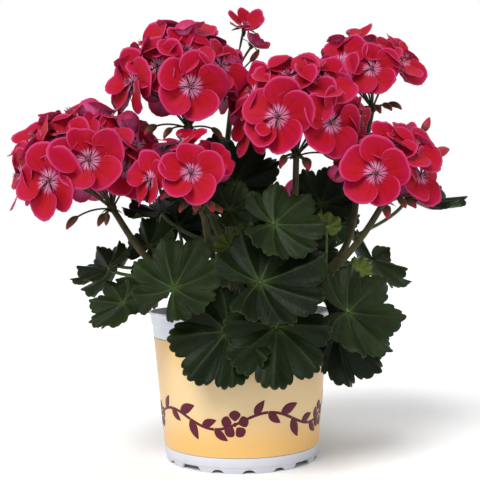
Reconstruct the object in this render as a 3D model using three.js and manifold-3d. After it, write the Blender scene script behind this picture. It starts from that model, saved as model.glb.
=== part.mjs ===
// A zonal pelargonium in flower, in a 12 cm nursery pot with a printed label.
// Millimetres, +Z up. The plant's front faces -Y. The origin is on the ground, under the middle of the
// plant's outer box. The dimensions below are measured from the pot's own axis.

import * as THREE from "three";
import { mergeVertices } from "three/addons/utils/BufferGeometryUtils.js";
import Module from "manifold-3d";

const wasm = await Module();
wasm.setup();

// Driving dimensions
const SEAT_GAP = 0.3; // between two pieces that rest against each other
const POT = { height: 96.6, rimRadius: 60, footRadius: 49.7, wall: 1.3, sides: 28 };
const LABEL = { bottom: 9.8, top: 79.8, bottomRadius: 51, topRadius: 57.4, thickness: 0.6 };
const FOOT = { lift: 6, floor: 1.6, wall: 1.8, feet: 4, firstNotch: 50, notchWidth: 14, notchHeight: 5.2 };
const SCALLOP = { perFoot: 3, width: 7, height: 2 };
const DRAIN = { count: 4, radius: 4, ring: 33 };
const SOIL = { edge: 89, crown: 93, lump: 1.2, sides: 16 };
const STEM_RADIUS = 4;
const LEAF = {
  lobes: 7,
  halfSpan: 158,
  thickness: 0.9,
  notch: 0.16,
  pleat: 0.05,
  smallest: 16,
  plainFrom: 32,
};
const PETIOLE_RADIUS = 1.3;
const FLORET = { petals: 5, thickness: 0.7, notchReach: 0.64, halfWidth: 22, cup: 0.14 };
const PEDUNCLE_RADIUS = 2.1;
const BOSS_RADIUS = 3.6;
const PEDICEL_RADIUS = 0.75;
const CALYX_RADIUS = 1.6;

const rad = THREE.MathUtils.degToRad;
const vec = (p) => new THREE.Vector3(...p);

const materials = {
  pot: new THREE.MeshStandardMaterial({ color: 0xe6e8ee, roughness: 0.42, metalness: 0 }),
  label: new THREE.MeshStandardMaterial({ color: 0xf6cf8a, roughness: 0.38, metalness: 0 }),
  soil: new THREE.MeshStandardMaterial({ color: 0x2a2019, roughness: 0.95, metalness: 0 }),
  foliage: new THREE.MeshStandardMaterial({ color: 0x2c4426, roughness: 0.6, metalness: 0 }),
  stalk: new THREE.MeshStandardMaterial({ color: 0x4b4a2a, roughness: 0.6, metalness: 0 }),
  petal: new THREE.MeshStandardMaterial({ color: 0xcf1d3c, roughness: 0.55, metalness: 0 }),
};

// Closed meshes and solids

function solidOf(geometry) {
  const bare = geometry.clone();
  bare.deleteAttribute("normal");
  bare.deleteAttribute("uv");
  const merged = mergeVertices(bare, 1e-4);
  const index = merged.index.array;
  const triangles = [];
  for (let i = 0; i < index.length; i += 3) {
    const [a, b, c] = index.slice(i, i + 3);
    if (a !== b && b !== c && c !== a) triangles.push(a, b, c);
  }
  const mesh = new wasm.Mesh({
    numProp: 3,
    vertProperties: merged.attributes.position.array,
    triVerts: new Uint32Array(triangles),
  });
  return new wasm.Manifold(mesh);
}

function solidFrom(points, triangles) {
  const geometry = new THREE.BufferGeometry().setFromPoints(points);
  geometry.setIndex(triangles);
  return solidOf(geometry);
}

function join(solids) {
  return solids.reduce((whole, next) => whole.add(next));
}

// The outer skin of a solid's largest body: loose scraps are dropped and sealed hollows are filled.
function mainBody(solid) {
  return solid.decompose().reduce((a, b) => (a.volume() > b.volume() ? a : b));
}

function named(name, solid, material) {
  const { numProp, vertProperties, triVerts } = solid.getMesh();
  const points = Array.from({ length: vertProperties.length / numProp }, (_, i) =>
    vec(vertProperties.slice(i * numProp, i * numProp + 3)),
  );
  const geometry = new THREE.BufferGeometry().setFromPoints(points);
  geometry.setIndex([...triVerts]);
  geometry.computeVertexNormals();
  const mesh = new THREE.Mesh(geometry, material.clone());
  mesh.name = name;
  return mesh;
}

// A repeatable draw between -1 and 1
function drawsFrom(seed) {
  let state = seed * 7919 + 17;
  return () => {
    state = (state * 16807) % 2147483647;
    return (2 * state) / 2147483647 - 1;
  };
}

// A direction by compass angle (0 to the front, 90 to the right) and height above the horizon
function towards(azimuth, elevation) {
  const flat = Math.cos(rad(elevation));
  return vec([Math.sin(rad(azimuth)) * flat, -Math.cos(rad(azimuth)) * flat, Math.sin(rad(elevation))]);
}

// A place at a compass angle from the pot's middle
const placed = (azimuth, radius, z) => towards(azimuth, 0).multiplyScalar(radius).setZ(z);

// A frame at a point: z along the face's direction, x turned anticlockwise from the right as one looks
// at the face
function frameAt(point, [azimuth, elevation], turn) {
  const normal = towards(azimuth, elevation);
  const right = vec([Math.cos(rad(azimuth)), Math.sin(rad(azimuth)), 0]);
  const up = normal.clone().cross(right);
  const along = right.multiplyScalar(Math.cos(rad(turn))).addScaledVector(up, Math.sin(rad(turn)));
  return new THREE.Matrix4().makeBasis(along, normal.clone().cross(along), normal).setPosition(point);
}

// A tube with flat ends along a curve, through evenly spaced rings of the given radii. Grow makes it larger
// all round.
function stalk(curve, radii, sides, grow = 0) {
  const steps = radii.length - 1;
  const frames = curve.computeFrenetFrames(steps);
  const points = [];
  for (let i = 0; i <= steps; i++) {
    const ending = i === 0 ? -1 : i === steps ? 1 : 0;
    const centre = curve.getPointAt(i / steps).addScaledVector(frames.tangents[i], ending * grow);
    const radius = radii[i] + grow / Math.cos(Math.PI / sides);
    for (let k = 0; k < sides; k++) {
      const turn = (2 * Math.PI * k) / sides;
      const offset = frames.normals[i].clone().multiplyScalar(radius * Math.cos(turn));
      points.push(offset.addScaledVector(frames.binormals[i], radius * Math.sin(turn)).add(centre));
    }
  }
  const triangles = [];
  for (let i = 0; i < steps; i++)
    for (let k = 0; k < sides; k++) {
      const a = i * sides + k;
      const b = i * sides + ((k + 1) % sides);
      triangles.push(a, b, b + sides, a, b + sides, a + sides);
    }
  const last = steps * sides;
  for (let k = 1; k < sides - 1; k++) {
    triangles.push(0, k + 1, k);
    triangles.push(last, last + k, last + k + 1);
  }
  return solidFrom(points, triangles);
}

// A sheet of even thickness, split into triangles alike on both faces. The points are [x, y, height] in the
// frame, the triangles run anticlockwise, and the edge lists the outline's points in the same sense.
function sheet(frame, flat, face, edge, thickness) {
  const points = [thickness / 2, -thickness / 2].flatMap((side) =>
    flat.map(([x, y, z]) => vec([x, y, z + side]).applyMatrix4(frame)),
  );
  const under = flat.length;
  const triangles = face.flatMap(([a, b, c]) => [a, b, c, c + under, b + under, a + under]);
  edge.forEach((a, k) => {
    const b = edge[(k + 1) % edge.length];
    triangles.push(a, a + under, b + under, a, b + under, b);
  });
  return solidFrom(points, triangles);
}

const polar = ([angle, reach, z]) => [reach * Math.cos(rad(angle)), reach * Math.sin(rad(angle)), z];

// A closed profile of [radius, height] turned about the upright axis
function turned(profile, sides) {
  const closed = [...profile, profile[0]].map(([r, z]) => new THREE.Vector2(r, z));
  return solidOf(new THREE.LatheGeometry(closed, sides).rotateX(Math.PI / 2));
}

// Pot, label and soil

// The outer radius of the pot and its label at a height
function potRadius(z) {
  const { bottom, top, bottomRadius, topRadius } = LABEL;
  if (z < bottom) return THREE.MathUtils.mapLinear(z, 0, bottom, POT.footRadius, bottomRadius);
  if (z < top) return THREE.MathUtils.mapLinear(z, bottom, top, bottomRadius, topRadius);
  return THREE.MathUtils.mapLinear(z, top, POT.height, topRadius, POT.rimRadius);
}

// The pot's wall is set back behind its label.
const RECESS = LABEL.thickness + SEAT_GAP;
const innerRadius = (z) => potRadius(z) - RECESS - POT.wall;

// An upright slot through the foot at a compass angle
function slot(azimuth, width, height) {
  const geometry = new THREE.BoxGeometry(width, 8, 2 * height).rotateZ(rad(azimuth));
  return solidOf(geometry.translate(...placed(azimuth, POT.footRadius, 0)));
}

function makePot() {
  const floorTop = FOOT.lift + FOOT.floor;
  const lip = 2.4;
  const profile = [
    [0, FOOT.lift],
    [POT.footRadius - FOOT.wall, FOOT.lift],
    [POT.footRadius - FOOT.wall, 0],
    [POT.footRadius, 0],
    [potRadius(LABEL.bottom), LABEL.bottom - SEAT_GAP],
    [potRadius(LABEL.bottom) - RECESS, LABEL.bottom - SEAT_GAP],
    [potRadius(LABEL.top) - RECESS, LABEL.top + SEAT_GAP],
    [potRadius(LABEL.top), LABEL.top + SEAT_GAP],
    [POT.rimRadius - 0.5, POT.height - lip],
    [POT.rimRadius + 0.4, POT.height - lip / 2],
    [POT.rimRadius, POT.height],
    [POT.rimRadius - POT.wall, POT.height],
    [innerRadius(LABEL.top), LABEL.top],
    [innerRadius(floorTop), floorTop],
    [0, floorTop],
  ];
  let pot = turned(profile, POT.sides);
  const quarter = 360 / FOOT.feet;
  for (let i = 0; i < FOOT.feet; i++) {
    const notch = FOOT.firstNotch + quarter * i;
    pot = pot.subtract(slot(notch, FOOT.notchWidth, FOOT.notchHeight));
    for (let k = 1; k <= SCALLOP.perFoot; k++) {
      const between = notch + (quarter * k) / (SCALLOP.perFoot + 1);
      pot = pot.subtract(slot(between, SCALLOP.width, SCALLOP.height));
    }
  }
  for (let i = 0; i < DRAIN.count; i++) {
    const hole = new THREE.CylinderGeometry(DRAIN.radius, DRAIN.radius, 20, 6).rotateX(Math.PI / 2);
    pot = pot.subtract(solidOf(hole.translate(...placed((360 * i) / DRAIN.count, DRAIN.ring, FOOT.lift))));
  }
  return pot;
}

function makeLabel() {
  const { bottom, top, bottomRadius, topRadius, thickness } = LABEL;
  const profile = [
    [bottomRadius - thickness, bottom],
    [bottomRadius, bottom],
    [topRadius, top],
    [topRadius - thickness, top],
  ];
  return turned(profile, POT.sides);
}

function makeSoil(holes) {
  const bottom = FOOT.lift + FOOT.floor + SEAT_GAP;
  const against = (z) => innerRadius(z) * Math.cos(Math.PI / POT.sides) - SEAT_GAP;
  const profile = [
    [0, bottom],
    [against(bottom), bottom],
    [against(LABEL.top), LABEL.top],
    [against(SOIL.edge), SOIL.edge],
    [44, SOIL.edge + SOIL.lump],
    [32, SOIL.edge + 1],
    [18, SOIL.crown],
    [0, SOIL.crown - SOIL.lump],
  ];
  return holes.reduce((soil, hole) => soil.subtract(hole), turned(profile, SOIL.sides));
}

// Leaves and their shoots

// The edge of a leaf of unit size at an angle from its tip: round lobes with a scalloped edge
function leafEdge(angle) {
  const inLobe = (((angle + LEAF.halfSpan) / (2 * LEAF.halfSpan)) * LEAF.lobes) % 1;
  const whole = 0.7 + 0.3 * Math.cos(rad(angle / 2)) ** 2;
  return whole * (1 - LEAF.notch * (1 - Math.sin(Math.PI * inLobe)) ** 2);
}

// The height of a leaf's surface: its veins are raised, its edge is waved and its halves can fold.
function leafHeight(leaf, angle, reach) {
  const inLobe = ((angle + LEAF.halfSpan) / (2 * LEAF.halfSpan)) * LEAF.lobes;
  const veins = -LEAF.pleat * reach * Math.cos(2 * Math.PI * inLobe);
  const bowl = leaf.cup * reach ** 2;
  const halves = leaf.fold * reach * Math.abs(Math.sin(rad(angle)));
  const wave = leaf.wave * reach ** 3 * Math.sin(rad(2.5 * angle) + leaf.phase);
  return leaf.size * (veins + bowl + halves + wave);
}

// A blade spreads from its middle over a ring at the lobes' notches to the edge. It is slit behind the middle.
function leafBlade(leaf) {
  const { lobes, halfSpan, thickness, smallest, plainFrom } = LEAF;
  const ray = (i, count) => -halfSpan + (2 * halfSpan * i) / count;
  const at = (angle, reach) => polar([angle, leaf.size * reach, leafHeight(leaf, angle, reach)]);
  const steps = leaf.size < smallest || leaf.middle[1] > plainFrom ? 2 : 4;
  const inner = Array.from({ length: lobes + 1 }, (_, i) => at(ray(i, lobes), 0.5));
  const outer = Array.from({ length: steps * lobes + 1 }, (_, i) => {
    const angle = ray(i, steps * lobes);
    return at(angle, leafEdge(angle));
  });
  const face = [];
  for (let i = 0; i < lobes; i++) {
    const start = 1 + i;
    const edge = lobes + 2 + steps * i;
    face.push([0, start, start + 1], [start, edge + steps / 2, start + 1]);
    for (let k = 0; k < steps; k++) face.push([k < steps / 2 ? start : start + 1, edge + k, edge + k + 1]);
  }
  const rim = outer.map((_, i) => lobes + 2 + i);
  const frame = frameAt(vec(leaf.middle), leaf.face, leaf.turn);
  return sheet(frame, [[0, 0, 0], ...inner, ...outer], face, [...rim, lobes + 1, 0, 1], thickness);
}

// A petiole leaves its stem outwards and comes to the leaf from behind, on the side of its slit.
function petiole(leaf, stem, grow) {
  const start = stem.getPointAt(leaf.from);
  const end = vec(leaf.middle);
  const span = start.distanceTo(end);
  const outwards = end.clone().sub(start).setZ(0).normalize();
  const behind = vec([-0.35, 0, -0.94]).transformDirection(frameAt(end, leaf.face, leaf.turn));
  const leaving = start.clone().addScaledVector(outwards, 0.2 * span);
  leaving.z += 0.3 * span + leaf.arch;
  const arriving = end.clone().addScaledVector(behind, 0.3 * span);
  arriving.z += leaf.arch;
  const route = new THREE.CubicBezierCurve3(start, leaving, arriving, end);
  const radius = leaf.size < LEAF.smallest ? PETIOLE_RADIUS * 0.7 : PETIOLE_RADIUS;
  return stalk(route, [radius * 1.2, radius, radius, radius], 3, grow);
}

const leafOf = ([middle, face, turn, size, from, shape = {}]) => ({
  middle,
  face,
  turn,
  size,
  from,
  cup: 0.12,
  fold: 0.04,
  wave: 0.05,
  phase: middle[0] / 10,
  arch: 0,
  ...shape,
});

// Each shoot: the points of its stem from below the soil upwards, and its leaves, each as
// [middle, [compass angle, height of its face], turn of its tip, length to its tip, place on the stem].
const shoots = {
  left: {
    stem: [[-20, -8, 62], [-22, -9, 92], [-42, -14, 114]],
    leaves: [
      [[-39, -61, 114], [-14, 26], 62, 33, 0.75],
      [[-59, -6, 139], [-35, 35], 75, 23, 1],
      [[-84, -24, 126], [-50, 52], 195, 25, 0.9],
      [[-72, -44, 104], [-30, 40], -130, 23, 0.8],
    ],
  },
  centre: {
    stem: [[0, 0, 62], [-1, -1, 92], [-8, -8, 136]],
    leaves: [
      [[-5, -40, 161], [0, 35], 25, 20, 0.95],
      [[-3, 6, 180], [0, 25], 110, 38, 1],
      [[-51, -6, 162], [-30, 72], 170, 26, 0.9],
      [[-6, -32, 138], [-10, 40], 120, 11, 0.9],
      [[4, -34, 147], [20, 40], 60, 10, 0.95],
    ],
  },
  front: {
    stem: [[4, -28, 62], [4, -30, 92], [6, -40, 112]],
    leaves: [
      [[21, -70, 91], [3, 12], -95, 37, 0.95, { arch: 12 }],
      [[-8, -65, 88], [-8, 15], -125, 36, 0.8, { arch: 24 }],
      [[12, -71, 117], [8, 35], 15, 40, 1],
      [[21, -60, 151], [15, 32], -10, 31, 1, { arch: 10 }],
    ],
  },
  right: {
    stem: [[24, -8, 62], [26, -9, 92], [52, -13, 112]],
    leaves: [
      [[66, -46, 97], [32, 25], -15, 36, 0.85, { arch: 14 }],
      [[61, -35, 84], [30, 10], -50, 36, 0.72, { arch: 22 }],
      [[48, 8, 136], [20, 30], -20, 22, 0.8],
      [[78, -14, 122], [20, 35], 60, 10, 0.95],
      [[57, -17, 150], [0, 30], 80, 11, 1],
    ],
  },
  back_right: {
    stem: [[22, 24, 62], [23, 25, 92], [44, 36, 118]],
    leaves: [
      [[114, 6, 170], [40, 66], 10, 41, 1],
      [[58, 22, 167], [5, 25], 75, 28, 0.95],
      [[95, 38, 128], [110, 38], -60, 32, 0.9],
      [[70, 72, 112], [140, 32], -80, 32, 0.8],
      [[64, 58, 158], [150, 45], -80, 28, 1],
    ],
  },
  back_left: {
    stem: [[-22, 24, 62], [-23, 25, 92], [-38, 36, 120]],
    leaves: [
      [[-57, 22, 186], [-10, 30], 120, 30, 1],
      [[-42, 22, 153], [-10, 20], 100, 26, 0.95],
      [[-86, 34, 126], [-100, 38], -110, 31, 0.9],
      [[-68, 76, 112], [-140, 30], -90, 31, 0.75],
    ],
  },
  back: {
    stem: [[0, 30, 62], [0, 32, 92], [2, 44, 122]],
    leaves: [
      [[-24, 92, 110], [-160, 28], -105, 30, 0.85],
      [[26, 94, 106], [165, 30], -75, 32, 0.9],
      [[-8, 70, 150], [180, 45], -90, 32, 1],
      [[11, 38, 157], [10, 25], -60, 22, 1],
    ],
  },
};

function makeShoot({ stem, leaves }) {
  const curve = new THREE.CatmullRomCurve3(stem.map(vec));
  const grownLeaves = leaves.map(leafOf);
  const taper = [1, 0.95, 0.9, 0.8, 0.7].map((share) => share * STEM_RADIUS);
  const woody = (grow) => stalk(curve, taper, 6, grow);
  const petioles = (grow) => grownLeaves.map((leaf) => petiole(leaf, curve, grow));
  return {
    curve,
    hole: woody(SEAT_GAP),
    clearance: join([woody(SEAT_GAP), ...petioles(SEAT_GAP)]),
    solid: mainBody(join([woody(0), ...petioles(0), ...grownLeaves.map(leafBlade)])),
  };
}

// Flower heads

// A floret's broad petals in one plate, hollow in the middle, each petal with a tilt of its own
function floretPlate({ middle, face: facing, size }, grow) {
  const { petals, thickness, notchReach, halfWidth, cup } = FLORET;
  const draw = drawsFrom(Math.round(middle.length() * 10));
  const spin = 90 + 14 * draw();
  const at = (angle, reach, lean) => polar([angle, size * reach + grow, size * (cup * reach ** 2 + lean)]);
  const flat = [[0, 0, 0]];
  const face = [];
  for (let i = 0; i < petals; i++) {
    const axis = spin + (360 / petals) * i;
    const lean = 0.08 * draw();
    flat.push(at(axis - 180 / petals, notchReach, 0));
    flat.push(at(axis - halfWidth, 0.96, lean), at(axis + halfWidth, 0.96, lean));
    const notch = 1 + 3 * i;
    const next = 1 + (3 * (i + 1)) % (3 * petals);
    face.push([0, notch, next], [notch, notch + 1, notch + 2], [notch, notch + 2, next]);
  }
  const edge = flat.map((_, i) => i).slice(1);
  return sheet(frameAt(middle, facing, 0), flat, face, edge, thickness + 2 * grow);
}

// A pedicel springs from the boss and comes to its end along a given direction.
function pedicelRoute(hub, end, arriving) {
  const span = end.distanceTo(hub);
  const start = hub.clone().lerp(end, (0.6 * BOSS_RADIUS) / span);
  const leaving = hub.clone().lerp(end, 0.35);
  leaving.z += 0.15 * span;
  const before = end.clone().addScaledVector(arriving, -0.3 * span);
  return new THREE.CubicBezierCurve3(start, leaving, before, end);
}

function floretPedicel(hub, { middle, face }) {
  const facing = towards(...face);
  const end = middle.clone().addScaledVector(facing, -FLORET.thickness / 2 - SEAT_GAP - 0.1);
  return stalk(pedicelRoute(hub, end, facing), [PEDICEL_RADIUS, PEDICEL_RADIUS, CALYX_RADIUS], 3);
}

// A bud hangs outwards from its pedicel, or stands up where its rise is positive.
function bud(hub, [tip, width, rise = -1]) {
  const end = vec(tip);
  const outwards = end.clone().sub(hub).setZ(0).normalize().multiplyScalar(0.45);
  const direction = outwards.setZ(rise).normalize();
  return stalk(pedicelRoute(hub, end, direction), [PEDICEL_RADIUS, PEDICEL_RADIUS, width, 0.3], 3);
}

// Each head: its shoot and place on it, what its peduncle passes and the top of it, the middle and radius of
// its dome, its florets, each as [compass angle, height, length of a petal, further out], and its buds,
// each as [tip, radius, rise].
const heads = {
  left: {
    shoot: "left",
    from: 0.97,
    way: [[-62, -28, 136]],
    hub: [-81, -22, 164],
    dome: [[-97, -22, 182], 41],
    florets: [
      [-21, -5, 24, 1],
      [12, 11, 23, 2],
      [70, 28, 23],
      [-62, 2, 22],
      [-54, 36, 22],
      [-40, 72, 23],
      [80, 66, 20, 3],
      [118, 36, 22],
      [-140, 36, 22],
      [165, 30, 21],
    ],
    buds: [
      [[-88, -34, 152], 2],
      [[-106, -42, 150], 2],
      [[-90, 10, 154], 2],
    ],
  },
  top: {
    shoot: "centre",
    from: 0.97,
    way: [[-24, -18, 176]],
    hub: [-32, -15, 216],
    dome: [[-35, -14, 238], 38],
    florets: [
      [10, -5, 23, 2],
      [-52, 4, 22],
      [8, 30, 20],
      [44, 18, 20],
      [20, 72, 22, 2],
      [-60, 45, 22],
      [100, 18, 17],
      [100, 55, 21],
      [-112, 36, 21],
      [160, 38, 21],
    ],
    buds: [
      [[-58, -34, 208], 2.4],
      [[-46, -36, 206], 1.8],
      [[-10, -32, 206], 1.8],
      [[-36, 12, 208], 2],
    ],
  },
  crown: {
    shoot: "back_left",
    from: 1,
    way: [[-14, 42, 180]],
    hub: [-2, 45, 256],
    dome: [[0, 45, 270], 30],
    florets: [[15, 45, 14]],
    buds: [
      [[16, 44, 280], 2, 1],
      [[4, 30, 270], 1.8],
      [[-10, 54, 266], 1.8],
    ],
  },
  young: {
    shoot: "front",
    from: 0.97,
    way: [[-15, -38, 130]],
    hub: [-22, -50, 161],
    dome: [[-28, -50, 172], 31],
    florets: [
      [2, 15, 20],
      [-48, 10, 18],
      [-30, 68, 17],
    ],
    buds: [
      [[-45, -72, 166], 2.6],
      [[-34, -74, 158], 1.8],
      [[-25, -77, 158], 2],
      [[-15, -76, 158], 2.2],
      [[-10, -62, 158], 1.8],
    ],
  },
  centre: {
    shoot: "right",
    from: 0.7,
    way: [[36, -16, 150]],
    hub: [37, -25, 196],
    dome: [[38, -24, 214], 38],
    florets: [
      [-20, 0, 23, 4],
      [28, -4, 23],
      [-58, 28, 21],
      [-15, 42, 21],
      [28, 38, 21],
      [-60, 70, 21],
      [50, 62, 18],
      [75, 30, 18],
      [68, -2, 19],
      [-150, 50, 19],
      [165, 35, 19],
    ],
    buds: [
      [[26, -50, 186], 2.2],
      [[43, -48, 184], 2.6],
      [[62, -34, 190], 2],
      [[28, 2, 190], 2],
    ],
  },
  high: {
    shoot: "right",
    from: 0.75,
    way: [[71, 0, 138], [82, 8, 186]],
    hub: [92, 14, 232],
    dome: [[88, 16, 243], 34],
    florets: [
      [-42, 28, 22],
      [-2, 14, 19, 1],
      [45, 30, 21],
      [-50, 66, 18, 4],
      [100, 38, 20],
      [160, 35, 20],
    ],
    buds: [
      [[102, -3, 227], 1.8],
      [[94, -5, 225], 1.8],
      [[110, 5, 229], 1.8],
      [[84, -1, 225], 1.8],
    ],
  },
  right: {
    shoot: "right",
    from: 1,
    way: [[79, -21, 144]],
    hub: [93, -25, 166],
    dome: [[92, -28, 178], 30],
    florets: [
      [-18, 4, 22, 3],
      [38, 38, 22],
      [0, 42, 19],
      [-12, 66, 13],
      [95, 40, 19],
      [150, 45, 19],
    ],
    buds: [
      [[108, -46, 160], 2.2],
      [[116, -40, 164], 2.4],
      [[101, -50, 160], 2],
      [[90, -50, 154], 2.4],
      [[136, -18, 199], 3, 0.1],
      [[124, -16, 220], 2.4, 1],
    ],
  },
  rear: {
    shoot: "back",
    from: 0.97,
    way: [[16, 58, 134]],
    hub: [28, 72, 146],
    dome: [[30, 80, 156], 33],
    florets: [
      [180, 8, 22],
      [128, 12, 22],
      [-128, 12, 22],
      [148, 30, 21],
    ],
    buds: [
      [[42, 98, 140], 2],
      [[18, 98, 140], 2],
    ],
  },
};

function makeHead({ shoot, from, way, hub, dome, florets, buds }) {
  const top = vec(hub);
  const placedFlorets = florets.map(([azimuth, elevation, size, further = 0]) => ({
    middle: vec(dome[0]).addScaledVector(towards(azimuth, elevation), dome[1] + further),
    face: [azimuth, elevation],
    size,
  }));
  const { curve, clearance } = grown[shoot];
  const route = new THREE.CatmullRomCurve3([curve.getPointAt(from), ...way.map(vec), top]);
  const taper = [1.15, 1.1, 1.05, 1, 0.95].map((share) => share * PEDUNCLE_RADIUS);
  const green = join([
    stalk(route, taper, 5),
    solidOf(new THREE.OctahedronGeometry(BOSS_RADIUS, 0).translate(...hub)),
    ...placedFlorets.map((floret) => floretPedicel(top, floret)),
    ...buds.map((one) => bud(top, one)),
  ]);
  const plates = (grow) => join(placedFlorets.map((floret) => floretPlate(floret, grow)));
  return {
    florets: mainBody(plates(0)),
    stalk: mainBody(green.subtract(clearance).subtract(plates(SEAT_GAP))),
  };
}

const grown = Object.fromEntries(Object.entries(shoots).map(([name, shoot]) => [name, makeShoot(shoot)]));

const plant = new THREE.Group();
plant.add(named("pot", makePot(), materials.pot));
plant.add(named("label_band", makeLabel(), materials.label));
plant.add(named("soil", makeSoil(Object.values(grown).map(({ hole }) => hole)), materials.soil));
for (const [name, shoot] of Object.entries(grown))
  plant.add(named(`shoot_${name}`, shoot.solid, materials.foliage));
for (const [name, head] of Object.entries(heads)) {
  const { florets, stalk: green } = makeHead(head);
  plant.add(named(`umbel_${name}_florets`, florets, materials.petal));
  plant.add(named(`umbel_${name}_stalk`, green, materials.stalk));
}

// The middle of the plant's outer box stands over the origin.
const middle = new THREE.Box3().setFromObject(plant).getCenter(new THREE.Vector3());
plant.position.set(-middle.x, -middle.y, 0);

const root = new THREE.Group();
root.name = "potted_zonal_pelargonium";
root.add(plant);

export default root;
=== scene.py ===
"""A zonal pelargonium in flower, in a 12 cm nursery pot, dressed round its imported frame.

The plan below is in millimetres from the pot's own axis. A piece's points become metres when it is built.
"""

from math import atan, atan2, cos, pi, radians, sin, sqrt

import bpy
import numpy as np
from mathutils import Matrix, Vector, noise


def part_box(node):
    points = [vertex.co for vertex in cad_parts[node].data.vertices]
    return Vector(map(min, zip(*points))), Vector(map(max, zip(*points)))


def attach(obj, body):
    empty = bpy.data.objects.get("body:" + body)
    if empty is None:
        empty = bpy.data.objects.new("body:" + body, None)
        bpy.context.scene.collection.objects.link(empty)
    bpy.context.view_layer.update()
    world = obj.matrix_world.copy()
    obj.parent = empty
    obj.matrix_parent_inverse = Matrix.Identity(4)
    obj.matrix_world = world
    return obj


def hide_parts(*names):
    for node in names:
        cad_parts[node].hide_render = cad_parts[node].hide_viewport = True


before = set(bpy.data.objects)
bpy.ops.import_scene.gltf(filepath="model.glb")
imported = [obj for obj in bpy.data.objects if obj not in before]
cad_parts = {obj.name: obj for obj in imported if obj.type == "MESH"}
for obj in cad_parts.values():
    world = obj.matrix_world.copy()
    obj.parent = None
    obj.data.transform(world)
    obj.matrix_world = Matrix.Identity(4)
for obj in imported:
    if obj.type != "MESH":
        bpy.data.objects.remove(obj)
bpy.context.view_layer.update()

MM = 0.001
pot_low, pot_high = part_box("pot")
POT_AXIS = np.array([(pot_low[0] + pot_high[0]) / 2, (pot_low[1] + pot_high[1]) / 2, 0.0])

# Camera, from the photograph's frame
PHOTO_SIDE = 480
FOCAL_PIXELS = 834
VIEW_AXIS_PIXEL = (239.3, 252)
CAMERA_BACK = 555
CAMERA_HEIGHT = 134.7
CAMERA_ROLL = 0.75
SENSOR = 36

# Driving sizes, as the part's own, with a little more for the sloping sides of notches and scallops
POT = {"height": 96.6, "rim": 60.0, "foot": 49.7, "wall": 1.3}
LABEL = {"bottom": 9.8, "top": 79.8, "bottom_radius": 51.0, "top_radius": 57.4, "thickness": 0.6}
FOOT = {"lift": 6.0, "floor": 1.6, "wall": 1.8, "feet": 4, "notch": 50.0}
NOTCHES = {"width": 15.0, "height": 5.4}
SCALLOPS_A_FOOT = 3
SCALLOPS = {"width": 8.0, "height": 2.1}
DRAIN = {"count": 4, "radius": 4.0, "ring": 33.0}
SOIL = {"edge": 89.0, "crown": 93.0}
SEAT_GAP = 0.3
STEM_RADIUS = 4.0
LEAF = {"lobes": 7, "half_span": 158.0, "notch": 0.16, "pleat": 0.05, "smallest": 16, "thickness": 0.5}
PETIOLE_RADIUS = 1.3
FLORET = {"petals": 5, "cup": 0.14, "thickness": 0.36}
SEPAL_THICKNESS = 0.3
PEDUNCLE_RADIUS = 2.1
BOSS_RADIUS = 3.2
HAIRS = {"width": 0.09, "stem": 120, "peduncle": 240, "pedicel": 26, "bud": 30}
GRAINS_ON_SOIL = 260

# Light: where it comes from, its strength and its spread
KEY_LIGHT = ((-0.45, -0.9, 1.05), 3.0, 32)
TOP_LIGHT = ((0.2, 0.3, 1.0), 0.9, 60)
FLOOR_HALF = 40.0

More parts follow.
